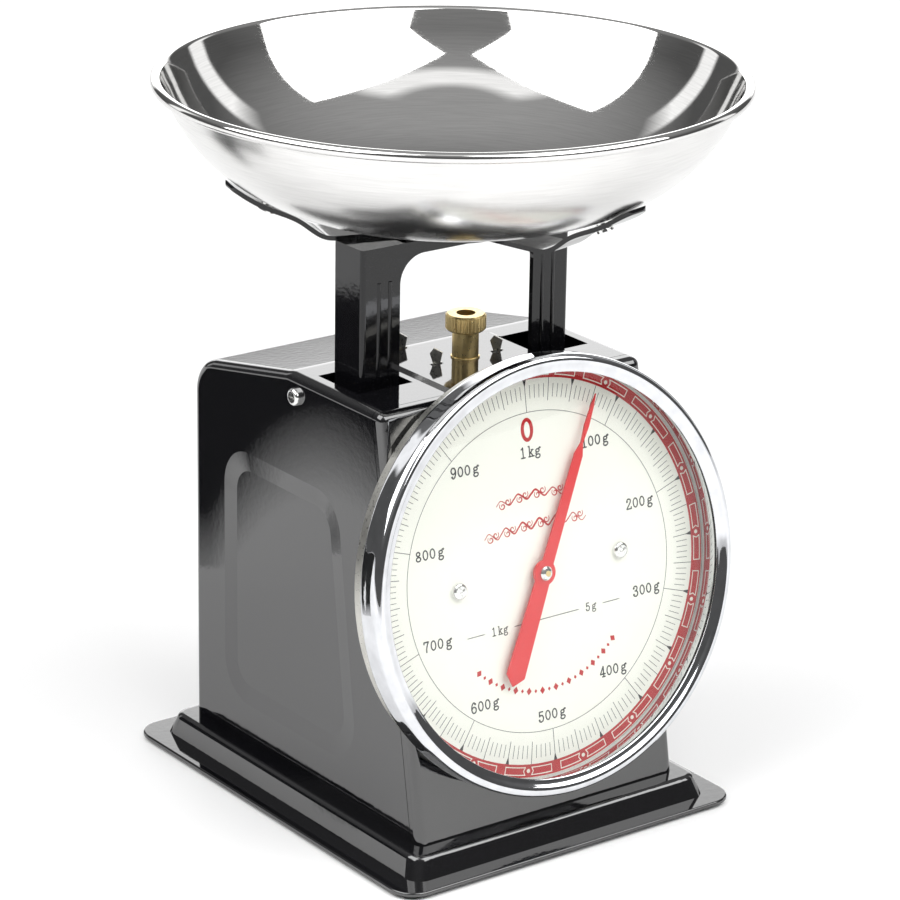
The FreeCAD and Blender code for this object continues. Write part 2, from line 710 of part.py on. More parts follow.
def tray_spider():
    """Three sprung steel arms on a round hub.  The bowl nests in their upturned ends."""
    arm = spider_arm()
    parts = [rod(0, 0, ARCH_TOP, ARCH_TOP + ARM_T, HUB_R)]
    for angle in SPIDER_ANGLES:
        parts.append(placed(arm, 0, 0, 0, V(0, 0, 1), angle))
    holes = [rod(x, y, ARCH_TOP - 4, ARCH_TOP + 4, 1.6) for x, y in spider_rivet_spots()]
    holes += [pad_pin(angle, 1.5, -6, 6) for angle in SPIDER_ANGLES]
    return cut(fuse(parts), holes)


def pad_pin(angle, r, low, high):
    """Pin through an arm where the bowl rests, square to the bowl's wall."""
    a = math.radians(angle)
    lean = math.radians(REST_LEAN)
    out = V(math.cos(a), math.sin(a), 0)
    axis = V(-out.x * math.sin(lean), -out.y * math.sin(lean), math.cos(lean))
    foot = V(out.x * REST_R, out.y * REST_R, REST_Z) + axis * low
    return Part.makeCylinder(r, high - low, foot, axis)


def bowl_rests():
    """Round-headed rivets on the arms: the bowl stands on their heads."""
    half = ARM_T / 2
    gap = 0.12
    rivets = []
    for angle in SPIDER_ANGLES:
        shank = pad_pin(angle, 1.45, -half - 0.5, half + 0.4)
        tail = pad_pin(angle, 2.9, -half - 1.0, -half - gap)
        head = pad_pin(angle, 2.4, half + gap, half + 0.5)
        rivets.append(fuse([shank, tail, head]))
    return group(rivets)


def spider_rivets():
    rivets = []
    for x, y in spider_rivet_spots():
        head = revolve([(0, 0), (3.2, 0), (2.6, 1.1), (1.2, 1.6), (0, 1.6)])
        head = placed(head, x, y, ARCH_TOP + ARM_T)
        tail = rod(x, y, ARCH_TOP - POST_T - 1.0, ARCH_TOP - POST_T, 2.6)
        shank = rod(x, y, ARCH_TOP - POST_T - 0.5, ARCH_TOP + ARM_T + 0.5, 1.6)
        rivets.append(fuse([head, tail, shank]))
    return group(rivets)


# ---- bowl ---------------------------------------------------------------------------------
def ring_arc(centre, r, start, end):
    """Arc in the XZ plane about a centre, between two angles in degrees from +X."""
    points = []
    for degrees in (start, (start + end) / 2, end):
        a = math.radians(degrees)
        points.append(centre + V(r * math.cos(a), 0, r * math.sin(a)))
    return Part.Arc(*points).toShape()


def bowl():
    """Spun bowl: flat floor, round wall, short straight flare and a rim rolled outwards."""
    wall = V(BOWL_FLAT_R, 0, BOWL_FLOOR + BOWL_ARC_R)
    bead = V(BOWL_R - BEAD_R, 0, BOWL_TOP - BEAD_R)
    top = BOWL_ARC_DEG - 90.0
    lean = BOWL_ARC_DEG + 90.0
    out_arc = ring_arc(wall, BOWL_ARC_R, -90.0, top)
    in_arc = ring_arc(wall, BOWL_ARC_R - BOWL_SHEET, top, -90.0)
    curl_in = ring_arc(bead, BEAD_R - BOWL_SHEET, lean, BEAD_END_DEG)
    curl_out = ring_arc(bead, BEAD_R, BEAD_END_DEG, lean)
    inside = V(0, 0, BOWL_FLOOR + BOWL_SHEET)
    outside = V(0, 0, BOWL_FLOOR)
    path = [out_arc, curl_in, curl_out, in_arc]
    edges = [Part.makeLine(outside, ends(out_arc)[0]), out_arc]
    for before, after in zip(path, path[1:]):
        edges += [Part.makeLine(ends(before)[1], ends(after)[0]), after]
    edges += [Part.makeLine(ends(in_arc)[1], inside), Part.makeLine(inside, outside)]
    return Part.Face(Part.Wire(edges)).revolve(V(0, 0, 0), V(0, 0, 1), 360)


def ends(edge):
    return edge.valueAt(edge.FirstParameter), edge.valueAt(edge.LastParameter)


# ---- zero adjuster and springs --------------------------------------------------------------
def spring_bracket():
    """Plated bracket under the roof, held by four twisted tabs that show on top."""
    under = BODY_TOP - SHEET
    plate = block(KNOB_X - 19, KNOB_X + 19, -13, 16, under - 1.2, under)
    lugs = [placed(mirrored_block(s, 17.8, 19.0, -13, 4, 136, under), KNOB_X, 0, 0) for s in (-1, 1)]
    tabs = []
    for x, y in tab_spots():
        tabs.append(block(x - 2.0, x + 2.0, y - 0.5, y + 0.5, under - 0.5, BODY_TOP + 1.2))
        ear = extrude_ear(x, y, BODY_TOP + 0.9)
        ear.rotate(V(x, y, 0), V(0, 0, 1), -48)
        tabs.append(ear)
    return fuse([plate] + lugs + tabs).cut(rod(KNOB_X, KNOB_Y, 140, 170, SCREW_R + 0.15))


def extrude_ear(x, y, z):
    outline = [V(x - 1.2, y - 0.5, z), V(x - 2.4, y - 0.5, z + 3.6), V(x - 1.0, y - 0.5, z + 5.6),
               V(x + 2.0, y - 0.5, z + 4.2), V(x + 1.2, y - 0.5, z), V(x - 1.2, y - 0.5, z)]
    return Part.Face(Part.makePolygon(outline)).extrude(V(0, 1.0, 0))


def zero_knob():
    head = rod(0, 0, KNOB_HEAD_Z, KNOB_TOP, KNOB_HEAD_R)
    head = head.makeChamfer(0.7, level_edges(head, KNOB_TOP) + level_edges(head, KNOB_HEAD_Z))
    flutes = []
    for i in range(36):
        a = 2 * math.pi * i / 36
        r = KNOB_HEAD_R + 0.18
        flutes.append(rod(r * math.cos(a), r * math.sin(a), KNOB_HEAD_Z - 1, KNOB_TOP + 1, 0.48))
    head = head.cut(Part.makeCompound(flutes))
    low = BODY_TOP + FIELD_RISE + WASHER_T + 0.05
    stem = rod(0, 0, low, KNOB_HEAD_Z + 0.2, KNOB_STEM_R)
    screw = rod(0, 0, SCREW_END, low + 0.2, SCREW_R)
    shape = fuse([head, stem, screw])
    bore = rod(0, 0, KNOB_TOP - 9.5, KNOB_TOP + 1, 3.35)
    return placed(shape.cut(bore), KNOB_X, KNOB_Y, 0)


def knob_washer():
    """Brass washer between the knob's shoulder and the roof."""
    low = BODY_TOP + FIELD_RISE
    ring = rod(KNOB_X, KNOB_Y, low, low + WASHER_T, 5.1).cut(rod(KNOB_X, KNOB_Y, low - 1, low + 2, 3.2))
    return ring.makeChamfer(0.2, level_edges(ring, low + WASHER_T))


def spring_hanger():
    """Beam on the knob's screw.  The springs hang from its pins, and turning the knob lifts it."""
    beam = block(KNOB_X - 16.5, KNOB_X + 16.5, KNOB_Y - 3.6, KNOB_Y + 3.6, 146.5, 150.0)
    nut = rod(KNOB_X, KNOB_Y, 143.5, 150.0, 4.2)
    pins = []
    for s in (-1, 1):
        x = KNOB_X + s * SPRING_DX
        pins.append(block(x - 1.2, x + 1.2, KNOB_Y + 2.0, KNOB_Y + 3.6, 141.8, 147))
        pins.append(rod_y(x, KNOB_Y - 3.0, KNOB_Y + 3.0, HANG_PIN_Z, 1.2))
    shape = fuse([beam, nut] + pins)
    return shape.cut(rod(KNOB_X, KNOB_Y, 130, 160, SCREW_R + 0.05))


def tension_spring(sign):
    """Close helix with a ring at each end.  The rings lie loosely around the two pins."""
    x = KNOB_X + sign * SPRING_DX
    ring_r = 3.0
    coil_top = HANG_PIN_Z - 7.2
    coil_low = CARRIER_PIN_Z + 7.2
    height = coil_top - coil_low
    helix = Part.makeHelix(height / SPRING_TURNS, height, SPRING_R)
    path = Part.Wire(helix.Edges)
    circle = Part.Wire(Part.makeCircle(SPRING_WIRE, V(SPRING_R, 0, 0), V(0, 1, 0)))
    coil = path.makePipeShell([circle], True, True)
    coil.translate(V(0, 0, coil_low))
    parts = [coil]
    for z, way in ((coil_top, 1), (coil_low, -1)):
        parts.append(rod_x(-0.2, SPRING_R, 0, z, SPRING_WIRE))
        parts.append(rod(0, 0, min(z, z + way * 3.4), max(z, z + way * 3.4), SPRING_WIRE))
        centre = V(0, 0, z + way * (3.0 + ring_r))
        parts.append(Part.makeTorus(ring_r, SPRING_WIRE, centre, V(0, 1, 0)))
    shape = fuse(parts)
    shape.translate(V(x, KNOB_Y, 0))
    return shape


# ---- check levers ---------------------------------------------------------------------------
def lever(pin_z):
    """U-shaped lever: two arms from a rear tube to stub pins in the posts."""
    rear_z = pin_z - MID_DROP
    arms = []
    for s in (-1, 1):
        xs = sorted((s * LEVER_X, s * (LEVER_X + 1.5)))
        arm = fuse([block(xs[0], xs[1], -LEVER_LEN, 0, -3.2, 3.2), rod_x(xs[0], xs[1], 0, 0, 4.5),
                    rod_x(xs[0], xs[1], -LEVER_LEN, 0, 3.8)])
        arms.append(arm)
        pin = sorted((s * (POST_OUT - 3.6), s * (LEVER_X + 1.0)))
        arms.append(rod_x(pin[0], pin[1], -LEVER_LEN, 0, 1.4))
    tube = rod_x(-LEVER_X - 1, LEVER_X + 1, 0, 0, 3.6)
    brace = block(-LEVER_X - 0.5, LEVER_X + 0.5, -18.0, -12.0, -0.75, 0.75)
    shape = fuse(arms + [tube, brace])
    shape = shape.cut(rod_x(-80, 80, 0, 0, 2.06))
    shape.rotate(V(0, 0, 0), V(1, 0, 0), -LEVER_DEG)
    shape.translate(V(0, LEVER_REAR_Y, rear_z))
    return shape


def lever_pin(pin_z):
    """Pivot rod of a lever, riveted over in the chassis."""
    z = pin_z - MID_DROP
    rod_body = rod_x(-52.6, 52.6, LEVER_REAR_Y, z, 2.0)
    heads = [rod_x(min(s * 51.7, s * 52.8), max(s * 51.7, s * 52.8), LEVER_REAR_Y, z, 3.0) for s in (-1, 1)]
    return fuse([rod_body] + heads)


def chassis():
    """Upright frame behind the tray posts that carries both lever pivots."""
    sides = []
    for s in (-1, 1):
        sides.append(mirrored_block(s, 50.0, 51.7, 46, 70, BODY_FLOOR + SHEET, 141))
    foot = block(-45.0, 45.0, 42, 74, BODY_FLOOR, BODY_FLOOR + 1.7)
    low, high = BODY_FLOOR + SHEET + 0.1, BODY_FLOOR + 2.8
    wings = [mirrored_block(s, 44.8, 51.7, 46, 70, low, high) for s in (-1, 1)]
    head = block(-51.7, 51.7, 64, 70, 139.3, 141)
    shape = fuse(sides + [foot, head] + wings)
    holes = [rod_x(-60, 60, LEVER_REAR_Y, z - MID_DROP, 2.0) for z in (LEVER_PIN_LOW, LEVER_PIN_HIGH)]
    holes += [rod(x, y, BODY_FLOOR - 1, BODY_FLOOR + 5, 1.6) for x, y in chassis_screw_spots()]
    return cut(shape, holes)


def stop_bumper():
    """Rubber stop under the carrier for an overload."""
    top = 36.0 - FULL - 0.6
    low = BODY_FLOOR
    return revolve([(0, low), (8, low), (8, low + 2), (6, top - 1), (5, top), (0, top)])


PARTS = {
    "base_plate": base_plate,
    "rubber_feet": rubber_feet,
    "base_screws": base_screws,
    "case_cover": case_cover,
    "front_panel": front_panel,
    "case_screws": case_screws,
    "dial_drum": dial_drum,
    "dial_plate": dial_plate,
    "dial_screws": dial_screws,
    "bezel_ring": bezel_ring,
    "lens": lens,
    "lens_gasket": lens_gasket,
    "pointer": pointer,
    "pointer_nut": pointer_nut,
    "pointer_shaft": pointer_shaft,
    "pinion": pinion,
    "rack": rack,
    "shaft_bush": shaft_bush,
    "gear_bridge": gear_bridge,
    "bridge_screws": bridge_screws,
    "rack_guide": rack_guide,
    "tray_frame": tray_frame,
    "carrier_bar": carrier_bar,
    "carrier_rivets": carrier_rivets,
    "rack_arm": rack_arm,
    "rack_screw": rack_screw,
    "tray_spider": tray_spider,
    "spider_rivets": spider_rivets,
    "bowl_rests": bowl_rests,
    "bowl": bowl,
    "spring_bracket": spring_bracket,
    "zero_knob": zero_knob,
    "knob_washer": knob_washer,
    "spring_hanger": spring_hanger,
    "spring_left": lambda: tension_spring(-1),
    "spring_right": lambda: tension_spring(1),
    "upper_lever": lambda: lever(LEVER_PIN_HIGH),
    "lower_lever": lambda: lever(LEVER_PIN_LOW),
    "upper_lever_pin": lambda: lever_pin(LEVER_PIN_HIGH),
    "lower_lever_pin": lambda: lever_pin(LEVER_PIN_LOW),
    "chassis": chassis,
    "stop_bumper": stop_bumper,
}


def main():
    os.makedirs("parts", exist_ok=True)
    for name, make in PARTS.items():
        shape = make()
        shape.exportStep("parts/" + name + ".step")
        print(name, len(shape.Solids), round(shape.Volume, 1), "valid" if shape.isValid() else "INVALID")


main()
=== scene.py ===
"""Looks of a retro kitchen scale: gloss black case, polished bowl, chrome bezel and a printed dial.

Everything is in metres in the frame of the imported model.  Sections and outlines are written in
millimetres.  Pieces on the dial use the dial's own axes: X to the right, Y up along its face and Z
out of it.
"""
import json
import math

import bmesh
import bpy
from mathutils import Matrix, Vector


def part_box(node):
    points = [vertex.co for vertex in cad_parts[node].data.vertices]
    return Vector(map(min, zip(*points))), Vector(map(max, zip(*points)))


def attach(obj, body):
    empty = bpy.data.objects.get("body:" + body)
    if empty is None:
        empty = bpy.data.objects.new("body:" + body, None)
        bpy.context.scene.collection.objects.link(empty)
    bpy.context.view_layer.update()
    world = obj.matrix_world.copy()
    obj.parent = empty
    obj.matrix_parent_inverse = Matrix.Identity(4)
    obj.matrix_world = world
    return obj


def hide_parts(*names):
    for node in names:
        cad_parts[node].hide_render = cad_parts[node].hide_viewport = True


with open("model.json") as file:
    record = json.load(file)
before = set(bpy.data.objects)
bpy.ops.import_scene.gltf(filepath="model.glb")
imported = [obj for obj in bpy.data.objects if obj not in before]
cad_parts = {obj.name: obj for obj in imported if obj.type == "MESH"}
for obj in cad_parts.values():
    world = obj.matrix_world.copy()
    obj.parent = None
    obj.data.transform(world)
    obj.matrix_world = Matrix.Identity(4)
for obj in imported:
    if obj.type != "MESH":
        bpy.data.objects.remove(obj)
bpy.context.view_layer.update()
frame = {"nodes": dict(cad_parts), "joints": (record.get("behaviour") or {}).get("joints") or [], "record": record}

MM = 0.001
JOINTS = {joint["name"]: joint for joint in frame["joints"]}

# ---- places read from the frame -------------------------------------------------------------
BOWL_LOW, BOWL_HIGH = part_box("bowl")
BOWL_TOP = BOWL_HIGH.z / MM
BOWL_FLOOR = BOWL_LOW.z / MM
BOWL_R = BOWL_HIGH.x / MM

DIAL_CENTRE = Vector(JOINTS["pointer_turn"]["pos_m"])
DIAL_OUT = -Vector(JOINTS["pointer_turn"]["axis"]).normalized()
DIAL_RIGHT = Vector((1, 0, 0))
DIAL_UP = DIAL_OUT.cross(DIAL_RIGHT)
DIAL_TURN = Matrix((DIAL_RIGHT, DIAL_UP, DIAL_OUT)).transposed().to_4x4()
DIAL_MATRIX = Matrix.Translation(DIAL_CENTRE) @ DIAL_TURN @ Matrix.Scale(MM, 4)

# ---- camera ---------------------------------------------------------------------------------
CAMERA_PLACE = Vector((-0.7657, -1.0285, 0.5842))
CAMERA_AZIMUTH = -36.715
CAMERA_ELEVATION = 19.723
CAMERA_ROLL = 0.942
CAMERA_LENS = 155.42
SENSOR_WIDTH = 36.0

# ---- studio ---------------------------------------------------------------------------------
AWAY = (0.598, 0.802, 0.0)              # level, from the camera to the scale
AWAY_MIRRORED = (-0.598, 0.802, 0.0)    # the same after a reflection in the case's left side
BOX_DISTANCE = 1.8
BOX_ELEVATION = 50.0
BOX_SIZE = (1.85, 1.33)
BOX_AIM = (0, 0, 0.15)
FLOOR_HALF = 6.0

# ---- dial -----------------------------------------------------------------------------------
TICKS = 200
TICK_OUT = 67.0
TICK_25_IN = 59.1
TICK_5_IN = 60.35
TICK_5_OUT = 65.0
WEDGE_IN = 64.4
WEDGE_HALF = 0.72
BAND_OUT = 71.55
BAND_UNITS = 18
INNER_RING = 55.8
PRINT_T = 0.05
PRINT_TOP_T = 0.08
LABEL_X = 47.5
LABEL_Y = 50.6
DIGIT_H = 3.75
DIGIT_STEP = 0.78
SPACE_STEP = 0.2
RULE_Y = -16.6
ARC_R = 41.5
ARC_MARKS = 23
GLASS_Z = 10.1


# ---- mesh helpers ---------------------------------------------------------------------------
def add_object(name, data):
    made = bpy.data.objects.new(name, data)
    bpy.context.scene.collection.objects.link(made)
    return made


def make_mesh(name, bm):
    mesh = bpy.data.meshes.new(name)
    bm.to_mesh(mesh)
    bm.free()
    return mesh


def add_mesh(name, bm, matrix, body="body", sharp=35.0):
    """Make an object from a bmesh in millimetres, placed by the matrix and riding on a body."""
    bmesh.ops.recalc_face_normals(bm, faces=bm.faces)
    mesh = make_mesh(name, bm)
    mesh.transform(matrix)
    obj = add_object(name, mesh)
    mesh.shade_smooth()
    mesh.set_sharp_from_angle(angle=math.radians(sharp))
    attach(obj, body)
    return obj


def revolve(points, steps, closed=True):
    """Turn (radius, height) points about Z.  Points on the axis become one vertex."""
    bm = bmesh.new()
    turns = [2 * math.pi * i / steps for i in range(steps)]
    rings = []
    for r, z in points:
        if r < 1e-6:
            rings.append([bm.verts.new((0, 0, z))] * steps)
        else:
            rings.append([bm.verts.new((r * math.cos(a), r * math.sin(a), z)) for a in turns])
    pairs = list(zip(rings, rings[1:]))
    if closed:
        pairs.append((rings[-1], rings[0]))
    for low, high in pairs:
        for i in range(steps):
            j = (i + 1) % steps
            corners = []
            for vert in (low[i], low[j], high[j], high[i]):
                if vert not in corners:
                    corners.append(vert)
            if len(corners) > 2:
                bm.faces.new(corners)
    return bm


def prism(bm, outline, z0=0.0, z1=PRINT_T):
    """Closed plate with the given outline of (x, y) points."""
    low = [bm.verts.new((x, y, z0)) for x, y in outline]
    high = [bm.verts.new((x, y, z1)) for x, y in outline]
    bm.faces.new(high)
    bm.faces.new(list(reversed(low)))
    for i in range(len(outline)):
        j = (i + 1) % len(outline)
        bm.faces.new((low[i], low[j], high[j], high[i]))


def ring_plate(bm, inner, outer, z0=0.0, z1=PRINT_T):
    """Closed plate between two loops with the same number of (x, y) points."""
    count = len(inner)
    loops = [[bm.verts.new((x, y, z)) for x, y in loop] for z in (z0, z1) for loop in (inner, outer)]
    for low, high in ((0, 1), (1, 3), (3, 2), (2, 0)):
        for i in range(count):
            j = (i + 1) % count
            bm.faces.new((loops[low][i], loops[low][j], loops[high][j], loops[high][i]))


def circle(r, steps, cx=0.0, cy=0.0):
    turns = [2 * math.pi * i / steps for i in range(steps)]
    return [(cx + r * math.sin(a), cy + r * math.cos(a)) for a in turns]


def polar(r, degrees, aside=0.0):
    """Point on the dial at a radius and a clockwise angle from the top, moved aside at right angles."""
    a = math.radians(degrees)
    return r * math.sin(a) + aside * math.cos(a), r * math.cos(a) - aside * math.sin(a)


def spline(points, per_span=6):
    """Smooth path through the points (Catmull-Rom)."""
    if len(points) < 3:
        return list(points)
    ends = [points[0]] + list(points) + [points[-1]]
    path = []
    for i in range(len(points) - 1):
        a, b, c, d = (Vector(p) for p in ends[i:i + 4])
        for k in range(per_span):
            t = k / per_span
            path.append(tuple(0.5 * ((2 * b) + (c - a) * t + (2 * a - 5 * b + 4 * c - d) * t * t
                                     + (3 * b - a - 3 * c + d) * t ** 3)))
    return path + [tuple(points[-1])]


def ribbon(bm, path, widths):
    """Flat print along a path, with rounded ends and its width given at the start, middle and end."""
    count = len(path)
    left, right = [], []
    for i, point in enumerate(path):
        ahead = Vector(path[min(i + 1, count - 1)]) - Vector(path[max(i - 1, 0)])
        ahead.normalize()
        t = i / (count - 1)
        first, second = (widths[0], widths[1]) if t < 0.5 else (widths[1], widths[2])
        share = t * 2 if t < 0.5 else t * 2 - 1
        half = (first + (second - first) * share) / 2
        side = Vector((-ahead.y, ahead.x)) * half
        left.append((point[0] + side.x, point[1] + side.y))
        right.append((point[0] - side.x, point[1] - side.y))
    start, finish = round_cap(path[0], left[0]), round_cap(path[-1], right[-1])
    prism(bm, right + finish + left[::-1] + start)


def round_cap(centre, first, steps=4):
    """Points of a half circle from one side of a ribbon's end to the other."""
    arm = Vector(first) - Vector(centre)
    cap = []
    for i in range(1, steps):
        a = math.pi * i / steps
        cap.append((centre[0] + arm.x * math.cos(a) - arm.y * math.sin(a),
                    centre[1] + arm.x * math.sin(a) + arm.y * math.cos(a)))
    return cap


# ---- material helpers -----------------------------------------------------------------------
class Nodes:
    """Short calls for making and joining the nodes of one tree."""

    def __init__(self, tree):
        self.tree = tree

    def node(self, kind, **values):
        made = self.tree.nodes.new(kind)
        for key, value in values.items():
            setattr(made, key, value)
        return made

    def put(self, socket, value):
        if isinstance(value, bpy.types.NodeSocket):
            self.tree.links.new(value, socket)
        else:
            socket.default_value = value

    def math(self, operation, a, b=0.0):
        made = self.node("ShaderNodeMath", operation=operation)
        self.put(made.inputs[0], a)
        self.put(made.inputs[1], b)
        return made.outputs[0]

    def span(self, value, low, high, start=0.0, end=1.0):
        """Map value from start..end to low..high, held at both ends."""
        made = self.node("ShaderNodeMapRange")
        self.put(made.inputs["Value"], value)
        self.put(made.inputs["From Min"], start)
        self.put(made.inputs["From Max"], end)
        self.put(made.inputs["To Min"], low)
        self.put(made.inputs["To Max"], high)
        return made.outputs["Result"]

    def split(self, vector):
        made = self.node("ShaderNodeSeparateXYZ")
        self.put(made.inputs[0], vector)
        return made.outputs


class Finish(Nodes):
    """A material with one Principled shader and the patterns that feed it."""

    def __init__(self, name):
        self.material = bpy.data.materials.new(name)
        self.material.use_nodes = True
        super().__init__(self.material.node_tree)
        self.shader = self.tree.nodes["Principled BSDF"]
        self.place = self.node("ShaderNodeTexCoord").outputs["Object"]

    def set(self, **values):
        for key, value in values.items():
            self.put(self.shader.inputs[key.replace("_", " ")], value)

    def noise(self, scale, detail=2.0, vector=None, rough=0.5):
        made = self.node("ShaderNodeTexNoise")
        self.put(made.inputs["Vector"], vector or self.place)
        self.put(made.inputs["Scale"], scale)
        self.put(made.inputs["Detail"], detail)
        self.put(made.inputs["Roughness"], rough)
        return made.outputs["Fac"]

    def blend(self, fac, a, b):
        made = self.node("ShaderNodeMix", data_type="RGBA")
        self.put(made.inputs["Factor"], fac)
        self.put(made.inputs["A"], a)
        self.put(made.inputs["B"], b)
        return made.outputs["Result"]

    def speckle(self, fac, start, end, colour, fade):
        """A colour that fades in patches where the pattern is strong."""
        faded = rgb(*[c * fade for c in colour])
        return self.blend(self.span(fac, 0.0, 1.0, start, end), rgb(*colour), faded)

    def turned(self, along, across):
        """Coordinates that run round the vertical axis: slow along the turn and fast across it."""
        x, y, z = self.split(self.place)
        squares = self.math("ADD", self.math("MULTIPLY", x, x), self.math("MULTIPLY", y, y))
        radius = self.math("SQRT", squares)
        safe = self.math("MAXIMUM", radius, 1e-5)
        join = self.node("ShaderNodeCombineXYZ")
        self.put(join.inputs[0], self.math("MULTIPLY", self.math("DIVIDE", x, safe), along))
        self.put(join.inputs[1], self.math("MULTIPLY", self.math("DIVIDE", y, safe), along))
        self.put(join.inputs[2], self.math("MULTIPLY", self.math("ADD", radius, z), across))
        return join.outputs[0]

    def bump(self, height, distance):
        made = self.node("ShaderNodeBump")
        self.put(made.inputs["Height"], height)
        self.put(made.inputs["Distance"], distance)
        self.put(self.shader.inputs["Normal"], made.outputs["Normal"])
        return self.material


def rgb(r, g, b):
    return (r, g, b, 1.0)


def gloss_black(name, rough=0.04, peel=0.000015, ior=2.0, specks=0.02):
    """Stove enamel: nearly black, very glossy, with a slight orange peel and faint dust."""
    f = Finish(name)
    dust = f.noise(2600.0, 3.0)
    haze = f.noise(22.0, 3.0)
    black, pale = rgb(0.004, 0.004, 0.005), rgb(specks, specks, specks * 0.95)
    f.set(Base_Color=f.blend(f.span(dust, 0.0, 0.5, 0.62, 0.85), black, pale),
          Roughness=f.span(haze, rough, rough + 0.03, 0.3, 0.8), IOR=ior)
    return f.bump(f.noise(420.0, 2.0), peel)


def polished(name, colour, rough, streak, fine=9000.0):
    """Metal polished on a lathe about a vertical axis, with fine rings and a satin underside."""
    f = Finish(name)
    rings = f.noise(1.0, 3.0, f.turned(2.5, fine), 0.6)
    smear = f.noise(1.0, 2.0, f.turned(6.0, fine * 0.12), 0.5)
    upright = f.split(f.node("ShaderNodeNewGeometry").outputs["Normal"])[2]
    underside = f.span(upright, 0.16, 0.0, -0.25, 0.1)
    f.set(Base_Color=f.speckle(smear, 0.35, 0.75, colour, 0.9), Metallic=1.0,
          Roughness=f.math("ADD", f.span(smear, rough, rough + 0.06, 0.3, 0.75), underside))
    return f.bump(rings, streak)


def plain_metal(name, colour, rough, grain=900.0, depth=0.00002, spread=0.12):
    """Plated or bare metal with a fine uneven surface."""
    f = Finish(name)
    patch = f.noise(180.0, 4.0)
    f.set(Base_Color=f.speckle(patch, 0.3, 0.75, colour, 0.82), Metallic=1.0,
          Roughness=f.span(f.noise(grain, 3.0), rough, rough + spread, 0.3, 0.7))
    return f.bump(f.noise(grain * 2.0, 2.0), depth)


def paint(name, colour, rough, grain=1500.0, depth=0.00001, fade=0.93):
    """Paint, ink or rubber with slightly uneven colour and a fine grain."""
    f = Finish(name)
    patch = f.noise(60.0, 3.0)
    f.set(Base_Color=f.speckle(patch, 0.35, 0.7, colour, fade),
          Roughness=f.span(f.noise(grain, 2.0), rough, rough + 0.08, 0.3, 0.7))
    return f.bump(f.noise(grain, 2.0), depth)


def pane(name):
    """Thin clear glass: it passes light straight on and mirrors by its angle."""
    f = Finish(name)
    f.tree.nodes.remove(f.shader)
    clear = f.node("ShaderNodeBsdfTransparent")
    clear.inputs["Color"].default_value = rgb(0.985, 0.99, 0.985)
    shine = f.node("ShaderNodeBsdfGlossy")
    f.put(shine.inputs["Roughness"], f.span(f.noise(60.0, 3.0), 0.01, 0.03, 0.3, 0.8))
    facing = f.node("ShaderNodeLayerWeight").outputs["Facing"]
    mixed = f.node("ShaderNodeMixShader")
    f.put(mixed.inputs[0], f.span(f.math("POWER", facing, 5.0), 0.04, 1.0))
    f.put(mixed.inputs[1], clear.outputs[0])
    f.put(mixed.inputs[2], shine.outputs[0])
    f.put(f.tree.nodes["Material Output"].inputs["Surface"], mixed.outputs[0])
    return f.material


ENAMEL = gloss_black("enamel_black")
POST_ENAMEL = gloss_black("enamel_posts", rough=0.07, peel=0.00003, ior=1.45, specks=0.09)
STEEL = polished("steel_polished", (0.75, 0.745, 0.735), 0.02, 0.000001)
CHROME = plain_metal("chrome_plate", (0.74, 0.75, 0.775), 0.02, grain=300.0, depth=0.000002, spread=0.02)
ZINC = plain_metal("zinc_plate", (0.62, 0.61, 0.57), 0.25)
SCREW = plain_metal("screw_plate", (0.9, 0.9, 0.89), 0.1, depth=0.00001)
BRASS = plain_metal("brass_turned", (0.95, 0.73, 0.34), 0.26, depth=0.00001)
SPRING = plain_metal("spring_wire", (0.5, 0.5, 0.5), 0.25)
CREAM = paint("dial_cream", (0.92, 0.92, 0.85), 0.35, fade=0.99)
RED = paint("pointer_red", (0.72, 0.018, 0.022), 0.3)
PRINT_RED = paint("print_red", (0.5, 0.002, 0.005), 0.6)
PRINT_BLACK = paint("print_black", (0.02, 0.02, 0.022), 0.45)
PRINT_WHITE = paint("print_white", (0.9, 0.88, 0.8), 0.4)
RUBBER = paint("rubber_black", (0.02, 0.02, 0.02), 0.7, grain=3000.0, depth=0.00004)
GLASS = pane("glass_pane")

CAD_FINISH = {
    "black_enamel": ENAMEL, "black_steel": POST_ENAMEL, "polished_steel": STEEL, "chrome": CHROME,
    "zinc_steel": ZINC, "screw_steel": SCREW, "dial_enamel": CREAM, "red_paint": RED, "brass": BRASS,
    "glass": GLASS, "rubber": RUBBER, "spring_steel": SPRING,
}


def dress(obj, material):
    obj.data.materials.clear()
    obj.data.materials.append(material)
    return obj


for part in frame["record"]["subparts"]:
    node = frame["nodes"][part["node"]]
    for material_slot in node.material_slots:
        material_slot.material = CAD_FINISH[part["material_slot"]]


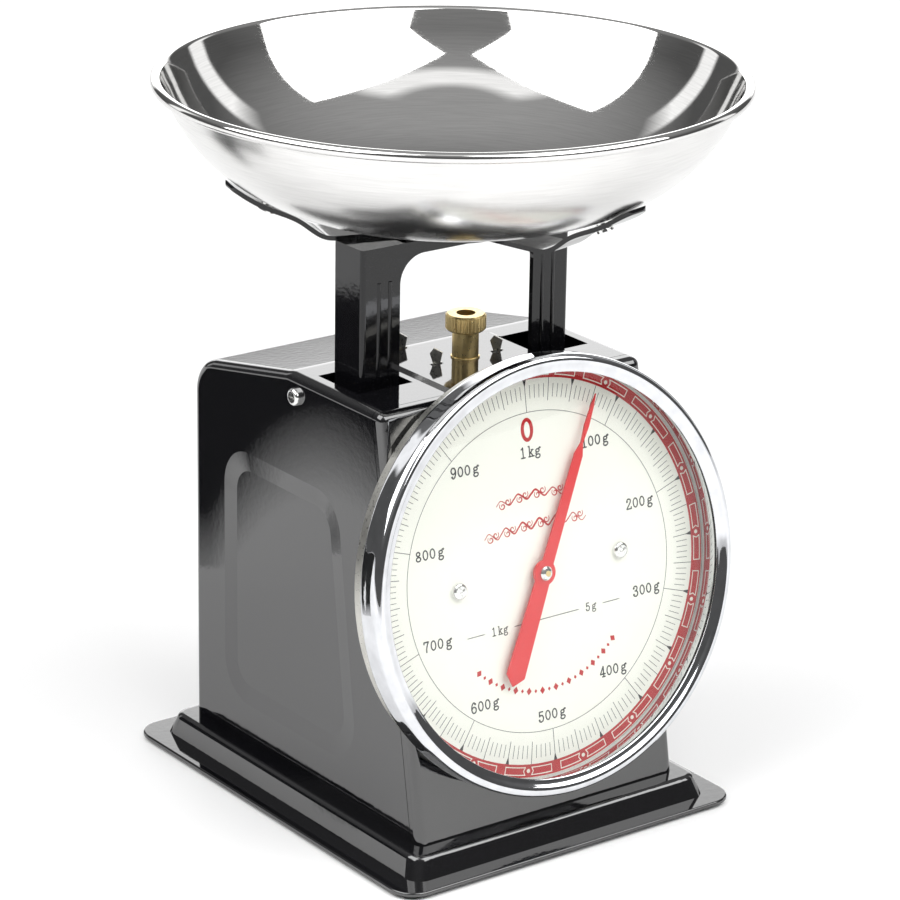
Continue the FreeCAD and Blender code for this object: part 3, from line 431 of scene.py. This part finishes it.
# ---- dial print -----------------------------------------------------------------------------
# Typewriter characters one unit high: pen strokes, ovals (centre and radii) and round stroke ends.
GLYPHS = {
    "1": [[(0.31, 1.0), (0.31, 0.04)], [(0.31, 0.98), (0.13, 0.85)], [(0.1, 0.03), (0.52, 0.03)]],
    "2": [[(0.09, 0.74), (0.15, 0.91), (0.32, 0.98), (0.5, 0.88), (0.5, 0.68), (0.33, 0.42), (0.15, 0.2),
           (0.06, 0.04)],
          [(0.06, 0.04), (0.57, 0.04)], [(0.57, 0.04), (0.58, 0.2)]],
    "3": [[(0.09, 0.8), (0.17, 0.94), (0.32, 0.98), (0.48, 0.88), (0.49, 0.7), (0.4, 0.58), (0.25, 0.54)],
          [(0.25, 0.54), (0.44, 0.5), (0.54, 0.32), (0.48, 0.1), (0.3, 0.02), (0.13, 0.07), (0.06, 0.2)]],
    "4": [[(0.42, 1.0), (0.42, 0.04)], [(0.42, 1.0), (0.04, 0.3)], [(0.04, 0.29), (0.6, 0.29)],
          [(0.27, 0.03), (0.57, 0.03)]],
    "5": [[(0.13, 0.96), (0.5, 0.96)], [(0.13, 0.96), (0.11, 0.55)],
          [(0.11, 0.55), (0.28, 0.63), (0.47, 0.56), (0.55, 0.35), (0.48, 0.12), (0.29, 0.02), (0.12, 0.07),
           (0.06, 0.2)]],
    "6": [[(0.5, 0.86), (0.36, 0.98), (0.19, 0.88), (0.08, 0.62), (0.06, 0.34), (0.14, 0.1), (0.31, 0.02),
           (0.48, 0.1), (0.55, 0.3), (0.48, 0.5), (0.31, 0.58), (0.15, 0.5), (0.07, 0.34)]],
    "7": [[(0.07, 0.8), (0.07, 0.96)], [(0.07, 0.96), (0.56, 0.96)],
          [(0.56, 0.95), (0.43, 0.68), (0.33, 0.38), (0.3, 0.03)]],
    "9": [[(0.12, 0.14), (0.26, 0.02), (0.43, 0.12), (0.54, 0.38), (0.56, 0.66), (0.48, 0.9), (0.31, 0.98),
           (0.14, 0.9), (0.07, 0.7), (0.14, 0.5), (0.31, 0.42), (0.47, 0.5), (0.55, 0.66)]],
    "g": [[(0.13, 0.3), (0.08, 0.2), (0.17, 0.12), (0.4, 0.1), (0.53, 0.0), (0.48, -0.17), (0.29, -0.24),
           (0.1, -0.18), (0.05, -0.05), (0.16, 0.11)],
          [(0.4, 0.58), (0.5, 0.7), (0.58, 0.71)]],
    "k": [[(0.13, 1.0), (0.13, 0.04)], [(0.02, 1.0), (0.13, 1.0)], [(0.02, 0.03), (0.26, 0.03)],
          [(0.13, 0.28), (0.46, 0.62)], [(0.34, 0.65), (0.56, 0.65)], [(0.25, 0.42), (0.5, 0.04)],
          [(0.38, 0.03), (0.62, 0.03)]],
}
LOOPS = {
    "0": [(0.31, 0.5, 0.26, 0.475)],
    "8": [(0.31, 0.745, 0.2, 0.23), (0.31, 0.265, 0.245, 0.245)],
    "g": [(0.28, 0.46, 0.2, 0.2)],
}
BALLS = {
    "2": [(0.11, 0.74)], "3": [(0.11, 0.8), (0.09, 0.2)], "5": [(0.09, 0.2)], "6": [(0.48, 0.84)],
    "9": [(0.14, 0.16)], "g": [(0.58, 0.69)],
}


def ellipse_ring(bm, cx, cy, rx, ry, width, steps=28):
    inner = [(cx + (rx - width / 2) * x, cy + (ry - width / 2) * y) for x, y in circle(1.0, steps)]
    outer = [(cx + (rx + width / 2) * x, cy + (ry + width / 2) * y) for x, y in circle(1.0, steps)]
    ring_plate(bm, inner, outer)


def glyph(bm, letter, x, y, height, weight):
    """Draw one typewriter character with its lower left corner at x, y."""
    def at(point):
        return x + point[0] * height, y + point[1] * height

    for stroke in GLYPHS.get(letter, []):
        path = spline([at(p) for p in stroke])
        ribbon(bm, path, (weight, weight, weight))
    for cx, cy, rx, ry in LOOPS.get(letter, []):
        px, py = at((cx, cy))
        ellipse_ring(bm, px, py, rx * height - weight * 0.1, ry * height - weight * 0.4, weight)
    for ball in BALLS.get(letter, []):
        px, py = at(ball)
        prism(bm, circle(weight * 0.8, 12, px, py))


def label(bm, text, cx, cy, height, weight):
    """Draw a line of characters centred on cx, cy."""
    steps = [DIGIT_STEP * (SPACE_STEP if letter == " " else 1.0) for letter in text]
    x = cx - height * (sum(steps) - 0.2) / 2
    for letter, step in zip(text, steps):
        glyph(bm, letter, x, cy - height / 2, height, weight)
        x += step * height


def tick(bm, degrees, inner, outer, width):
    half = width / 2
    prism(bm, [polar(inner, degrees, -half), polar(outer, degrees, -half),
               polar(outer, degrees, half), polar(inner, degrees, half)])


def rule(bm, x0, x1, y):
    """Thin straight line with pointed ends."""
    point, half = 0.8, 0.13
    prism(bm, [(x0, y), (x0 + point, y - half), (x1 - point, y - half), (x1, y), (x1 - point, y + half),
               (x0 + point, y + half)])


def scroll(bm, cx, cy, size, way, width):
    """Small spiral that opens to the left or the right."""
    last = 14
    path = []
    for i in range(last + 1):
        a = math.radians(200.0 - 30.0 * i)
        r = size * (0.22 + 0.78 * i / last)
        path.append((cx + way * r * math.cos(a), cy + r * math.sin(a)))
    ribbon(bm, spline(path, 3), (width * 0.4, width, width * 0.4))


def vine(bm, x0, x1, y, rise, waves):
    """Waving stem on a low arch with a scroll at every crest, in place of a line of script."""
    arch, size, reach, drop = 1.6, 1.35, 0.7, 0.6
    length, count = x1 - x0, waves * 4
    path = []
    for i in range(count + 1):
        t = i / count
        wave = rise * math.sin(2 * math.pi * waves * t)
        path.append((x0 + length * t, y + wave + arch * math.sin(math.pi * t)))
    ribbon(bm, spline(path, 5), (0.25, 0.75, 0.25))
    for i in range(waves):
        t = (i + 0.25) / waves
        x = x0 + length * t
        crest = y + arch * math.sin(math.pi * t)
        scroll(bm, x + reach, crest - drop, size, 1, 0.5)
        scroll(bm, x + length / waves / 2 - reach, crest + drop, size, -1, 0.5)


def print_black():
    """Graduations every 5 g, the inner circle, the numbers and a line with the range and step."""
    bm = bmesh.new()
    for i in range(TICKS):
        degrees = 360.0 * i / TICKS
        if i % 20 == 0:
            tick(bm, degrees, INNER_RING, TICK_OUT, 0.2)
        elif i % 5 == 0:
            tick(bm, degrees, TICK_25_IN, TICK_OUT, 0.2)
        else:
            tick(bm, degrees, TICK_5_IN, TICK_5_OUT, 0.17)
        if i % 10 == 0:
            prism(bm, [polar(WEDGE_IN, degrees), polar(TICK_OUT, degrees, -WEDGE_HALF),
                       polar(TICK_OUT, degrees, WEDGE_HALF)])
    ring_plate(bm, circle(INNER_RING - 0.09, 240), circle(INNER_RING + 0.09, 240))
    for step in range(1, 10):
        a = math.radians(36.0 * step)
        label(bm, f"{step}00 g", LABEL_X * math.sin(a), LABEL_Y * math.cos(a), DIGIT_H, 0.5)
    label(bm, "1 kg", 0.1, 42.2, DIGIT_H * 0.98, 0.46)
    label(bm, "1 kg", -19.0, RULE_Y, 2.9, 0.36)
    label(bm, "5 g", 20.5, RULE_Y, 2.9, 0.36)
    for x0, x1 in ((-33.0, -25.0), (-13.0, 15.5), (25.5, 33.5)):
        rule(bm, x0, x1, RULE_Y)
    return dress(add_mesh("dial_print_black", bm, DIAL_MATRIX), PRINT_BLACK)


def print_red():
    """Outer band, the zero, two lines of ornament and a row of diamonds on the lower arc."""
    bm = bmesh.new()
    ring_plate(bm, circle(TICK_OUT, 240), circle(BAND_OUT, 240))
    ellipse_ring(bm, -0.5, 49.9, 1.95, 3.5, 1.35, 40)
    vine(bm, -16.0, 14.0, 26.0, 1.3, 4)
    vine(bm, -22.0, 21.5, 15.6, 1.5, 6)
    for i in range(ARC_MARKS):
        degrees = 224.5 - 88.5 * i / (ARC_MARKS - 1)
        size = 1.35 if i % 2 == 0 else 0.75
        prism(bm, [polar(ARC_R + size, degrees), polar(ARC_R, degrees, size * 0.8),
                   polar(ARC_R - size, degrees), polar(ARC_R, degrees, -size * 0.8)])
    return dress(add_mesh("dial_print_red", bm, DIAL_MATRIX), PRINT_RED)


def outline_bar(bm, middle, way):
    """White outline of a bar on the band, with a notch at the end beside the dot."""
    inner, outer, half = 68.05, 70.65, 0.17
    near, notch, far, steps = 1.2, 1.75, 8.3, 6
    turns = [middle + way * (near + (far - near) * i / steps) for i in range(steps + 1)]
    points = [polar(inner, turn) for turn in turns]
    points += [polar(outer, turn) for turn in reversed(turns)]
    points += [polar((inner + outer) / 2, middle + way * notch)]
    grown, shrunk = [], []
    count = len(points)
    for i, point in enumerate(points):
        before = (Vector(point) - Vector(points[i - 1])).normalized()
        after = (Vector(points[(i + 1) % count]) - Vector(point)).normalized()
        normal = (Vector((before.y, -before.x)) + Vector((after.y, -after.x))).normalized()
        reach = half / max(0.5, normal.dot(Vector((before.y, -before.x))))
        grown.append((point[0] + normal.x * reach, point[1] + normal.y * reach))
        shrunk.append((point[0] - normal.x * reach, point[1] - normal.y * reach))
    ring_plate(bm, shrunk, grown, PRINT_T, PRINT_TOP_T)


def print_white():
    """Dots and outlined bars on the red band, evenly spaced round the dial."""
    bm = bmesh.new()
    for i in range(BAND_UNITS):
        middle = 10.0 + 360.0 / BAND_UNITS * i
        prism(bm, circle(0.72, 16, *polar(69.25, middle)), PRINT_T, PRINT_TOP_T)
        for way in (-1, 1):
            outline_bar(bm, middle, way)
    return dress(add_mesh("dial_print_white", bm, DIAL_MATRIX), PRINT_WHITE)


print_black()
print_red()
print_white()


# ---- bowl -----------------------------------------------------------------------------------
def section_arc(centre, r, start, end, steps):
    """Points of an arc in a section, between two angles in degrees."""
    path = []
    for i in range(steps + 1):
        a = math.radians(start + (end - start) * i / steps)
        path.append((centre[0] + r * math.cos(a), centre[1] + r * math.sin(a)))
    return path


def bowl():
    """Spun bowl: flat floor, round wall, short straight flare and a rolled rim."""
    flat, wall_r, wall_deg, bead_r, sheet = 39.4, 63.2, 66.0, 1.9, 1.0
    wall = (flat, BOWL_FLOOR + wall_r)
    bead = (BOWL_R - bead_r, BOWL_TOP - bead_r)
    outer = section_arc(wall, wall_r, -90.0, wall_deg - 90.0, 48)
    inner = section_arc(wall, wall_r - sheet, wall_deg - 90.0, -90.0, 48)
    curl_in = section_arc(bead, bead_r - sheet, wall_deg + 90.0, -60.0, 16)
    curl_out = section_arc(bead, bead_r, -60.0, wall_deg + 90.0, 32)
    floor_rings = [(flat * k / 6, BOWL_FLOOR + sheet) for k in range(5, 0, -1)]
    below, above = [(0, BOWL_FLOOR)] + outer, inner + floor_rings + [(0, BOWL_FLOOR + sheet)]
    bm = revolve(below + curl_in + curl_out + above, 256, closed=False)
    made = add_mesh("bowl_spun", bm, Matrix.Scale(MM, 4), body="bowl", sharp=50.0)
    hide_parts("bowl")
    return dress(made, STEEL)


bowl()


# ---- lens and bezel -------------------------------------------------------------------------
def lens():
    """Domed glass, held by its flat edge."""
    flat_r, edge_r, thick, rise, steps = 69.5, 73.7, 1.6, 1.1, 24
    front = [(flat_r * i / steps, GLASS_Z + rise * (1 - (i / steps) ** 2)) for i in range(steps + 1)]
    back = [(r, z - thick) for r, z in reversed(front)]
    profile = front + [(edge_r, GLASS_Z), (edge_r, GLASS_Z - thick)] + back
    made = add_mesh("lens_domed", revolve(profile, 192, closed=False), DIAL_MATRIX)
    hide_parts("lens")
    return dress(made, GLASS)


def bezel():
    """Chrome rim: straight wall, rolled outer edge and a flat lip that turns in over the glass."""
    outside = [(75.7, 2.0), (76.2, 2.3), (76.4, 2.9), (76.4, 6.0), (76.4, 9.2), (76.25, 10.3), (75.8, 11.2),
               (75.0, 11.8), (74.0, 12.0), (73.2, 11.85), (72.6, 11.6), (71.8, 11.2), (71.0, 10.9),
               (70.4, 10.75), (70.05, 10.55), (70.0, 10.35), (70.2, 10.2)]
    section = [(74.1, 2.0)] + spline(outside, 4) + [(74.1, 10.2)]
    made = add_mesh("bezel_chrome", revolve(section, 256), DIAL_MATRIX, sharp=50.0)
    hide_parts("bezel_ring")
    return dress(made, CHROME)


def spacer():
    """Bright ring standing between the edge of the dial and the glass."""
    section = [(71.75, 0.35), (71.95, 0.15), (72.15, 0.35), (72.15, 7.8), (71.95, 8.0), (71.75, 7.8)]
    made = add_mesh("bezel_spacer", revolve(section, 192), DIAL_MATRIX, sharp=50.0)
    return dress(made, CHROME)


lens()
bezel()
spacer()


# ---- floor, light and camera ----------------------------------------------------------------
def floor():
    """Pale floor that grows brighter with distance, so that it meets the pale background."""
    bm = bmesh.new()
    bmesh.ops.create_grid(bm, x_segments=1, y_segments=1, size=FLOOR_HALF)
    made = add_object("floor", make_mesh("floor", bm))
    f = Finish("floor_pale")
    distance = f.node("ShaderNodeVectorMath", operation="LENGTH")
    f.put(distance.inputs[0], f.place)
    cloud = f.span(f.noise(3.0, 2.0), 0.0, 1.0, 0.35, 0.7)
    f.set(Base_Color=f.blend(cloud, rgb(0.9, 0.9, 0.9), rgb(0.88, 0.88, 0.88)), Roughness=0.6,
          Emission_Color=rgb(1, 1, 1),
          Emission_Strength=f.span(distance.outputs["Value"], 0.0, 0.4, 0.5, 1.8))
    return dress(made, f.material)


def softbox(name, azimuth, power):
    """Rectangular light seen in the metal, at an azimuth from the camera's side of the scale in degrees."""
    light = bpy.data.lights.new(name, "AREA")
    light.shape = "RECTANGLE"
    light.size, light.size_y = BOX_SIZE
    light.energy = power
    a, e = math.radians(CAMERA_AZIMUTH + azimuth), math.radians(BOX_ELEVATION)
    place = Vector((math.sin(a) * math.cos(e), -math.cos(a) * math.cos(e), math.sin(e))) * BOX_DISTANCE
    made = add_object(name, light)
    made.location = place
    made.rotation_mode = "QUATERNION"
    made.rotation_quaternion = (Vector(BOX_AIM) - place).to_track_quat("-Z", "Y")
    made.visible_camera = False


def dark_card():
    """Low dark board with a soft arch below it, seen only in the enamel of the left side."""
    half, high, distance = 0.06, 0.115, 0.224
    side_middle = Vector((-0.0558, 0.012, 0.0))
    corners = ((-half, 0.0), (half, 0.0), (half, high), (-half, high))
    bm = bmesh.new()
    bm.faces.new([bm.verts.new((x, 0.0, z)) for x, z in corners])
    made = add_object("dark_card", make_mesh("dark_card", bm))
    made.location = side_middle + Vector(AWAY_MIRRORED) * distance
    made.rotation_euler = (0.0, 0.0, math.radians(36.7))
    for kind in ("camera", "diffuse", "transmission", "volume_scatter", "shadow"):
        setattr(made, "visible_" + kind, False)
    f = Finish("card_dark")
    x, y, z = f.split(f.place)
    arch_top, arch_foot, arch_half = 0.062, 0.015, 0.045
    arch = f.span(f.math("MULTIPLY", x, x), arch_top, arch_foot, 0.0, arch_half ** 2)
    f.set(Base_Color=rgb(0.006, 0.006, 0.006), Roughness=0.9,
          Alpha=f.span(f.math("SUBTRACT", z, arch), 0.0, 1.0, -0.03, 0.01))
    return dress(made, f.material)


def studio_world():
    """Pale to the camera; to the object a bright wall behind it, a dim room and a grey ceiling."""
    world = bpy.data.worlds.new("studio")
    bpy.context.scene.world = world
    world.use_nodes = True
    n = Nodes(world.node_tree)
    direction = n.node("ShaderNodeTexCoord").outputs["Generated"]
    height = n.split(direction)[2]
    toward = n.node("ShaderNodeVectorMath", operation="DOT_PRODUCT")
    n.put(toward.inputs[0], direction)
    toward.inputs[1].default_value = AWAY
    back = toward.outputs["Value"]

    def between(value, start, end, soft_start, soft_end, level=1.0):
        """Level inside start..end, fading to nothing over the soft margins outside it."""
        rising = n.span(value, 0.0, level, start - soft_start, start)
        return n.math("MULTIPLY", rising, n.span(value, 1.0, 0.0, end, end + soft_end))

    wall = n.span(back, 0.0, 2.7, 0.86, 0.93)
    windows = between(back, 0.53, 0.64, 0.03, 0.03, 1.1)
    low = between(height, 0.04, 0.45, 0.06, 0.15)
    overhead = between(height, 0.91, 0.95, 0.04, 0.025, 0.8)
    strip = n.math("MULTIPLY", overhead, n.span(back, 1.0, 0.0, -0.12, 0.0))
    ceiling = n.span(height, 0.10, 0.40, 0.3, 0.95)
    room = n.math("MULTIPLY", n.math("ADD", wall, windows), low)
    room = n.math("ADD", n.math("ADD", room, strip), ceiling)
    seen = n.node("ShaderNodeLightPath").outputs["Is Camera Ray"]
    level = n.math("ADD", n.math("MULTIPLY", room, n.math("SUBTRACT", 1.0, seen)), seen)
    background = world.node_tree.nodes["Background"]
    n.put(background.inputs["Strength"], level)
    background.inputs["Color"].default_value = rgb(1, 1, 1)


def camera():
    data = bpy.data.cameras.new("view")
    data.sensor_width = SENSOR_WIDTH
    data.lens = CAMERA_LENS
    data.clip_start, data.clip_end = 0.05, 30.0
    az, el, roll = (math.radians(v) for v in (CAMERA_AZIMUTH, CAMERA_ELEVATION, CAMERA_ROLL))
    back = Vector((math.sin(az) * math.cos(el), -math.cos(az) * math.cos(el), math.sin(el)))
    right = Vector((0, 0, 1)).cross(back).normalized()
    up = back.cross(right)
    across = math.cos(roll) * right + math.sin(roll) * up
    upward = math.cos(roll) * up - math.sin(roll) * right
    turn = Matrix((across, upward, back)).transposed().to_4x4()
    made = add_object("view", data)
    made.matrix_world = Matrix.Translation(CAMERA_PLACE) @ turn
    bpy.context.scene.camera = made


floor()
studio_world()
dark_card()
softbox("box_left", -65.0, 29.0)
softbox("box_right", 59.0, 32.0)
camera()
bpy.context.scene.view_settings.view_transform = "Standard"
